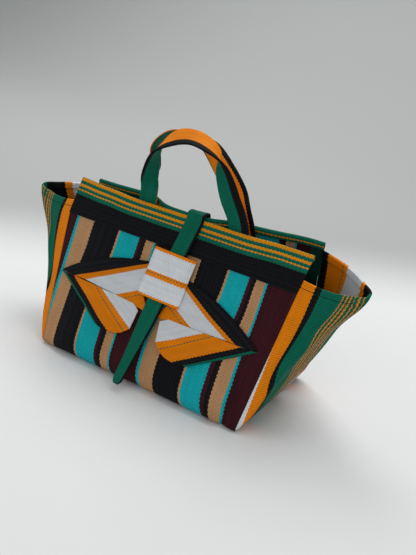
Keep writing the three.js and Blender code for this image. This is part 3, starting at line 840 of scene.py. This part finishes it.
def strap_curves(shift):
    """The strap's line, moved sideways by shift where it follows the walls, as a list of curves."""
    top = MOUTH_HEIGHT + STRAP_BACK_OFF

    def beside(side, x, z, distance):
        point = wall_point(side, x + shift, z)
        point.y += side * distance / abs(wall_normal(side, x + shift, z).y)
        return point

    back_foot = beside(1, STRAP_X_MOUTH, STRAP_SEWN_HEIGHT, STRAP_BACK_OFF)
    back_top = beside(1, STRAP_X_MOUTH, MOUTH_HEIGHT, STRAP_BACK_OFF)
    front_top = beside(-1, STRAP_X_MOUTH, MOUTH_HEIGHT, STRAP_BACK_OFF)
    band_foot = beside(-1, STRAP_X_KNOT_TOP, BAND_FOOT_HEIGHT, STRAP_FRONT_OFF)
    knot_foot = beside(-1, STRAP_X_KNOT, drop_to_height(STRAP_KNOT_DROP), STRAP_FRONT_OFF)
    tip = STRAP_TIP + Vector((shift, 0, 0))
    back_edge = Vector((back_top.x, back_top.y, top))
    front_edge = Vector((front_top.x, front_top.y, top))
    after_back = back_edge + Vector((0, -STRAP_CORNER, 0))
    before_front = front_edge + Vector((0, STRAP_CORNER, 0))
    free = knot_foot.lerp(tip, 0.5) + Vector((0, STRAP_CORNER, 0))
    return (
        (back_foot, back_top),
        (back_top, back_edge, after_back),
        (after_back, before_front),
        (before_front, front_edge, front_top),
        (front_top, band_foot),
        (band_foot, knot_foot),
        (knot_foot, free, tip),
    )


def on_curve(points, share):
    if len(points) == 2:
        return points[0].lerp(points[1], share)
    return points[0].lerp(points[1], share).lerp(points[1].lerp(points[2], share), share)


strap_sides = [strap_curves(-STRAP_WIDTH / 2), strap_curves(0), strap_curves(STRAP_WIDTH / 2)]
strap_stations = [(part, k / count) for part, count in enumerate(STRAP_ROWS) for k in range(count)]
strap_stations.append((len(STRAP_ROWS) - 1, 1.0))
strap_runs = [0.0]
for above, below in zip(strap_stations, strap_stations[1:]):
    middle = strap_sides[1]
    step = on_curve(middle[below[0]], below[1]) - on_curve(middle[above[0]], above[1])
    strap_runs.append(strap_runs[-1] + step.length)


def strap_at(share_across, row):
    part, share = strap_stations[row]
    left, centre, right = (on_curve(curves[part], share) for curves in strap_sides)
    taper = mix(1, STRAP_TIP_WIDTH / STRAP_WIDTH, smooth(part + share, 6, 7))
    to_tip = max(0.0, 1 - (strap_runs[-1] - strap_runs[row]) / STRAP_TIP_LENGTH)
    across = share_across * taper * math.sqrt(1 - 0.8 * to_tip * to_tip)
    bow = (left + right) / 2 - centre
    return centre + (right - left) / 2 * across + bow * across * across


def strap_place(column, row):
    half = STRAP_WIDTH / 2
    across, off = strap_outline[column]
    point = strap_at(across / half, row)
    beside = strap_at(1, row) - strap_at(-1, row)
    ahead = strap_at(0, min(row + 1, len(strap_stations) - 1)) - strap_at(0, max(row - 1, 0))
    facing = ahead.cross(beside).normalized()
    return point + facing * off, (strap_flat[column], strap_runs[row])


strap_fold = STRAP_WIDTH / 2 - STRAP_FOLD
strap_outline = [(mix(-STRAP_WIDTH / 2, strap_fold, k / 6), STRAP_PLY) for k in range(7)]
for k in range(1, 4):
    angle = math.pi * (0.5 - k / 4)
    strap_outline.append((strap_fold + STRAP_PLY * math.cos(angle), STRAP_PLY * math.sin(angle)))
strap_outline += [(across, -off) for across, off in reversed(strap_outline[:7])]
strap_flat = [0.0]
for (x0, y0), (x1, y1) in zip(strap_outline, strap_outline[1:]):
    strap_flat.append(strap_flat[-1] + math.hypot(x1 - x0, y1 - y0))
strap = add_piece(
    "bag_closure_strap",
    sheet_shape(len(strap_outline) - 1, len(strap_stations) - 1, strap_place),
    woven("closure_strap_cloth", STRAP_STRIPES, STRAP_STRIPES_END, rib=STRAP_RIB),
    STRAP_LAYER,
)
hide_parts("closure_strap")

# Bow: on each side a strip runs out from under the knot and a second one comes back below it, joined
# in a mitre that ends in a point. The lower arm lies over the upper one and ends free, beside the strap.
BOW_CENTRE = -0.0035
BOW_LAYER = 0.0013
BOW_OFF = CLOTH / 2 + 0.0005 + BOW_LAYER / 2
BOW_LEFT_HANG = 0.0010  # the bow hangs a little askew, its right side lower
BOW_RIGHT_HANG = 0.0042
UPPER_WIDTH = 0.058
LOWER_WIDTH = 0.056
BOW_RIB = 0.0021


def on_front(distance, drop, off):
    """A point at a distance from the bow's centre and a drop below the band, off the front cloth."""
    drop += mix(BOW_LEFT_HANG, BOW_RIGHT_HANG, smooth(distance, -0.020, 0.050))
    return off_wall(-1, BOW_CENTRE + distance, drop_to_height(drop), off)


def through(points, value):
    """The two places that a list of (value, place, drop) runs through at a value."""
    for (value0, place0, drop0), (value1, place1, drop1) in zip(points, points[1:]):
        if value <= value1:
            share = (value - value0) / (value1 - value0)
            return mix(place0, place1, share), mix(drop0, drop1, share)
    return points[-1][1], points[-1][2]


# Each arm by the distance across its strip: the distance from the bow's centre and the drop below the
# band at which a thread starts on the mitre, and at which it ends
UPPER_MITRE = {
    -1: ((0.0, 0.1356, 0.0683), (0.009, 0.1146, 0.0687), (0.017, 0.0964, 0.0671), (0.0385, 0.0491, 0.0696),
         (0.058, 0.0069, 0.0750)),
    1: ((0.0, 0.1380, 0.0683), (0.009, 0.1123, 0.0687), (0.017, 0.1013, 0.0681), (0.0385, 0.0586, 0.0696),
        (0.058, 0.0130, 0.0750)),
}
UPPER_END = {
    -1: ((0.0, 0.0179, 0.0204), (0.009, 0.0179, 0.0219), (0.017, 0.0178, 0.0268), (0.0385, 0.0173, 0.0532),
         (0.058, 0.0050, 0.0711)),
    1: ((0.0, 0.0219, 0.0204), (0.009, 0.0219, 0.0222), (0.017, 0.0220, 0.0268), (0.0385, 0.0225, 0.0532),
        (0.058, 0.0109, 0.0711)),
}
LOWER_MITRE = {
    -1: ((0.0, 0.1356, 0.0683), (0.0035, 0.1281, 0.0691), (0.010, 0.1146, 0.0687), (0.028, 0.0786, 0.0686),
         (0.0335, 0.0684, 0.0691), (0.043, 0.0491, 0.0696), (0.056, 0.0210, 0.0714)),
    1: ((0.0, 0.1380, 0.0683), (0.0035, 0.1309, 0.0692), (0.010, 0.1188, 0.0691), (0.028, 0.0844, 0.0686),
        (0.0335, 0.0742, 0.0691), (0.043, 0.0550, 0.0696), (0.056, 0.0269, 0.0714)),
}
LOWER_END = {
    -1: ((0.0, 0.0600, 0.1102), (0.0035, 0.0557, 0.1111), (0.010, 0.0417, 0.1125), (0.016, 0.0319, 0.1112),
         (0.022, 0.0260, 0.1089), (0.028, 0.0214, 0.1057), (0.0335, 0.0149, 0.1003), (0.056, 0.0123, 0.0771)),
    1: ((0.0, 0.0674, 0.1102), (0.0035, 0.0632, 0.1110), (0.010, 0.0493, 0.1125), (0.016, 0.0394, 0.1112),
        (0.022, 0.0334, 0.1089), (0.028, 0.0287, 0.1057), (0.0335, 0.0220, 0.1003), (0.056, 0.0185, 0.0771)),
}
BOW_BULGE = 0.0107  # the upper arm's outer edge is curved
BULGE_WIDTH = 0.009
ARM_COLUMNS = 40
ARM_ROWS = 44


def bow_cloth(name, stripes, dash):
    return woven(name, stripes, BOW_STRIPES_END, dashes=((dash, GREEN),), rib=BOW_RIB)


def bow_arm(end, mitre, outer_end, width, lift, bulge):
    def place(column, row):
        value = width * column / ARM_COLUMNS
        share = row / ARM_ROWS
        start, start_drop = through(mitre, value)
        stop, stop_drop = through(outer_end, value)
        distance = mix(start, stop, share)
        drop = mix(start_drop, stop_drop, share)
        drop -= math.sin(math.pi * share ** 0.9) * bulge * max(0.0, 1 - value / BULGE_WIDTH)
        edge = min(1.0, value / 0.002, (width - value) / 0.002)
        off = BOW_OFF + lift(distance, share) - 0.0002 * (1 - edge)
        along = math.hypot(stop - start, stop_drop - start_drop) * share
        return on_front(end * distance, drop, off), (value, along)

    return place


UPPER_STRIPES = ((-0.001, BLACK), (0.009, ORANGE), (0.017, WHITE), (0.0385, ORANGE))
UPPER_DASH = 0.0435
LOWER_STRIPES = ((-0.001, GREEN), (0.0035, BLACK), (0.010, ORANGE), (0.0335, WHITE))
LOWER_DASH = 0.028
BOW_STRIPES_END = 0.060


def upper_lift(_, share):
    return 0.0004 * math.sin(math.pi * share)


def lower_lift(distance, share):
    over = 1 - smooth(distance, 0.055, 0.100)
    return (BOW_LAYER + 0.0004) * over + 0.0012 * smooth(share, 0.5, 1.0) * over


for end, name in ((-1, "bow_wing_left"), (1, "bow_wing_right")):
    upper_place = bow_arm(end, UPPER_MITRE[end], UPPER_END[end], UPPER_WIDTH, upper_lift, BOW_BULGE)
    upper = add_piece(
        "bag_" + name,
        sheet_shape(ARM_COLUMNS, ARM_ROWS, upper_place),
        bow_cloth(name + "_upper_cloth", UPPER_STRIPES, UPPER_DASH),
        BOW_LAYER,
    )
    lower_place = bow_arm(end, LOWER_MITRE[end], LOWER_END[end], LOWER_WIDTH, lower_lift, 0)
    lower = add_piece(
        "bag_" + name + "_arm",
        sheet_shape(ARM_COLUMNS, ARM_ROWS, lower_place),
        bow_cloth(name + "_lower_cloth", LOWER_STRIPES, LOWER_DASH),
        BOW_LAYER,
    )
    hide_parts(name)

# Knot: a short doubled strip that bridges the bow's arms and the strap and is sewn down at its two
# sides, so that the strap can slide through it.
KNOT_LAYER = 0.0015
KNOT_WIDTH = 0.056
KNOT_LENGTH = 0.056
KNOT_SEWN_OFF = 0.0042  # its sewn sides lie this far off the front cloth
KNOT_RISE = 0.0034  # and its middle stands over them by this, for the strap
KNOT_SLOPE = 0.007
# Its edges from the top through the middle to the foot, each by x and the drop below the band
KNOT_LEFT = ((0.0, -0.0213, 0.0021), (0.5, -0.0228, 0.0322), (1.0, -0.0250, 0.0594))
KNOT_RIGHT = ((0.0, 0.0348, 0.0037), (0.5, 0.0327, 0.0322), (1.0, 0.0312, 0.0610))
KNOT_COLUMNS = 40
KNOT_ROWS = 36
KNOT_STRIPES = (
    (-0.002, ORANGE),
    (0.0030, WHITE),
    (0.0255, ORANGE),
    (0.0322, WHITE),
    (0.0530, ORANGE),
)
KNOT_STRIPES_END = 0.058
KNOT_DASH = 0.0283
KNOT_FURROW_SHADE = 0.45  # its white cloth gets less painted shade in its furrows than the rest


def knot_place(column, row):
    u = column / KNOT_COLUMNS
    v = row / KNOT_ROWS
    left_x, left_drop = through(KNOT_LEFT, v)
    right_x, right_drop = through(KNOT_RIGHT, v)
    x = mix(left_x, right_x, u)
    drop = mix(left_drop, right_drop, u)
    rise = smooth(min(u, 1 - u) * KNOT_WIDTH, -0.001, KNOT_SLOPE)
    crown = math.sin(math.pi * u) * (0.0008 + 0.0004 * math.sin(math.pi * v))
    fold = 0.0003 * math.exp(-(((v - 0.5) / 0.02) ** 2))
    off = KNOT_SEWN_OFF + KNOT_RISE * rise + crown - fold
    return off_wall(-1, x, drop_to_height(drop), off), (v * KNOT_LENGTH, x)


knot_dashes = ((KNOT_DASH, GREEN),)
knot = add_piece(
    "bag_bow_knot",
    sheet_shape(KNOT_COLUMNS, KNOT_ROWS, knot_place),
    woven("bow_knot_cloth", KNOT_STRIPES, KNOT_STRIPES_END, knot_dashes, rib=BOW_RIB, depth=KNOT_FURROW_SHADE),
    KNOT_LAYER,
)
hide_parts("bow_knot")

# Stage: a pale table that curves up into a wall behind the bag; its colour is painted darker towards the wall
# and the left, as painted shade
STAGE_HALF_WIDTH = 5.0
STAGE_FRONT = -2.5
STAGE_BEND = 1.1
STAGE_RADIUS = 0.9
WALL_STEP = 1.5
STAGE_COLUMNS = 8
TABLE_ROWS = 4
BEND_ROWS = 16
WALL_ROWS = 2
TABLE_TINT = dye(228, 229, 228)
WALL_PAINTED_SHADE_TINT = dye(172, 174, 172)


def stage_place(column, row):
    x = mix(-STAGE_HALF_WIDTH, STAGE_HALF_WIDTH, column / STAGE_COLUMNS)
    if row < TABLE_ROWS:
        point = Vector((x, mix(STAGE_FRONT, STAGE_BEND, row / TABLE_ROWS), 0))
    else:
        angle = math.pi / 2 * min(1, (row - TABLE_ROWS) / BEND_ROWS)
        height = STAGE_RADIUS * (1 - math.cos(angle)) + WALL_STEP * max(0, row - TABLE_ROWS - BEND_ROWS)
        point = Vector((x, STAGE_BEND + STAGE_RADIUS * math.sin(angle), height))
    return point, (x, point.y)


paint = Shader("pale_table_painted_shade")
spot = paint.add("ShaderNodeTexCoord", output=3)
far = paint.add("ShaderNodeSeparateXYZ", inputs={0: spot}, output=1)
aside = paint.add("ShaderNodeSeparateXYZ", inputs={0: spot}, output=0)
# painted shade: the colour goes from the table's tint to the darker wall tint towards the back and the left
distance = paint.add(
    "ShaderNodeMapRange",
    {"interpolation_type": "SMOOTHSTEP"},
    {"Value": far + aside * -0.62, "From Min": 0.25, "From Max": 0.62},
)
tint = paint.mix(distance, TABLE_TINT, WALL_PAINTED_SHADE_TINT)
table = add_object(
    "table",
    sheet_shape(STAGE_COLUMNS, TABLE_ROWS + BEND_ROWS + WALL_ROWS, stage_place),
    paint.finish({"Base Color": tint, "Roughness": 0.7, "Specular IOR Level": 0.1}),
)

# Light and camera: a window behind and to the left, an overhead light, a weak one from the front, and a
# camera at the height and the tilt of the photograph's
LIGHTS_AIM = Vector((0, 0, 0.1))
ROOM_TINT = (0.95, 0.97, 1.0, 1)
ROOM_STRENGTH = 0.50
for name, place, size, power in (
    ("window", (-1.1, 1.0, 1.7), 1.1, 18),
    ("sky", (0.3, 0.9, 2.3), 1.6, 24),
    ("fill", (0.2, -2.1, 1.6), 1.8, 6),
):
    light = bpy.data.lights.new(name, "AREA")
    light.shape = "DISK"
    light.size = size
    light.energy = power
    lamp = bpy.data.objects.new(name, light)
    lamp.location = place
    lamp.rotation_euler = (LIGHTS_AIM - Vector(place)).to_track_quat("-Z", "Y").to_euler()
    bpy.context.scene.collection.objects.link(lamp)
room = bpy.data.worlds.new("room")
room.use_nodes = True
backdrop = room.node_tree.nodes["Background"]
backdrop.inputs["Color"].default_value = ROOM_TINT
backdrop.inputs["Strength"].default_value = ROOM_STRENGTH
bpy.context.scene.world = room
bpy.context.scene.view_settings.view_transform = "Standard"

CAMERA_PLACE = Vector((0.40902, -0.67899, 0.45511))
CAMERA_YAW = math.radians(28.89)
CAMERA_PITCH = math.radians(23.28)
CAMERA_ROLL = math.radians(8.11)
FOCAL_PIXELS = 739.97
PHOTO_HEIGHT = 555
FILM_WIDTH = 36  # millimetres
camera = bpy.data.cameras.new("camera")
camera.sensor_width = FILM_WIDTH
camera.lens = FOCAL_PIXELS * FILM_WIDTH / PHOTO_HEIGHT
viewer = bpy.data.objects.new("camera", camera)
turn = Matrix.Rotation(CAMERA_YAW, 4, "Z") @ Matrix.Rotation(math.pi / 2 - CAMERA_PITCH, 4, "X")
viewer.matrix_world = Matrix.Translation(CAMERA_PLACE) @ turn @ Matrix.Rotation(CAMERA_ROLL, 4, "Z")
bpy.context.scene.collection.objects.link(viewer)
bpy.context.scene.camera = viewer
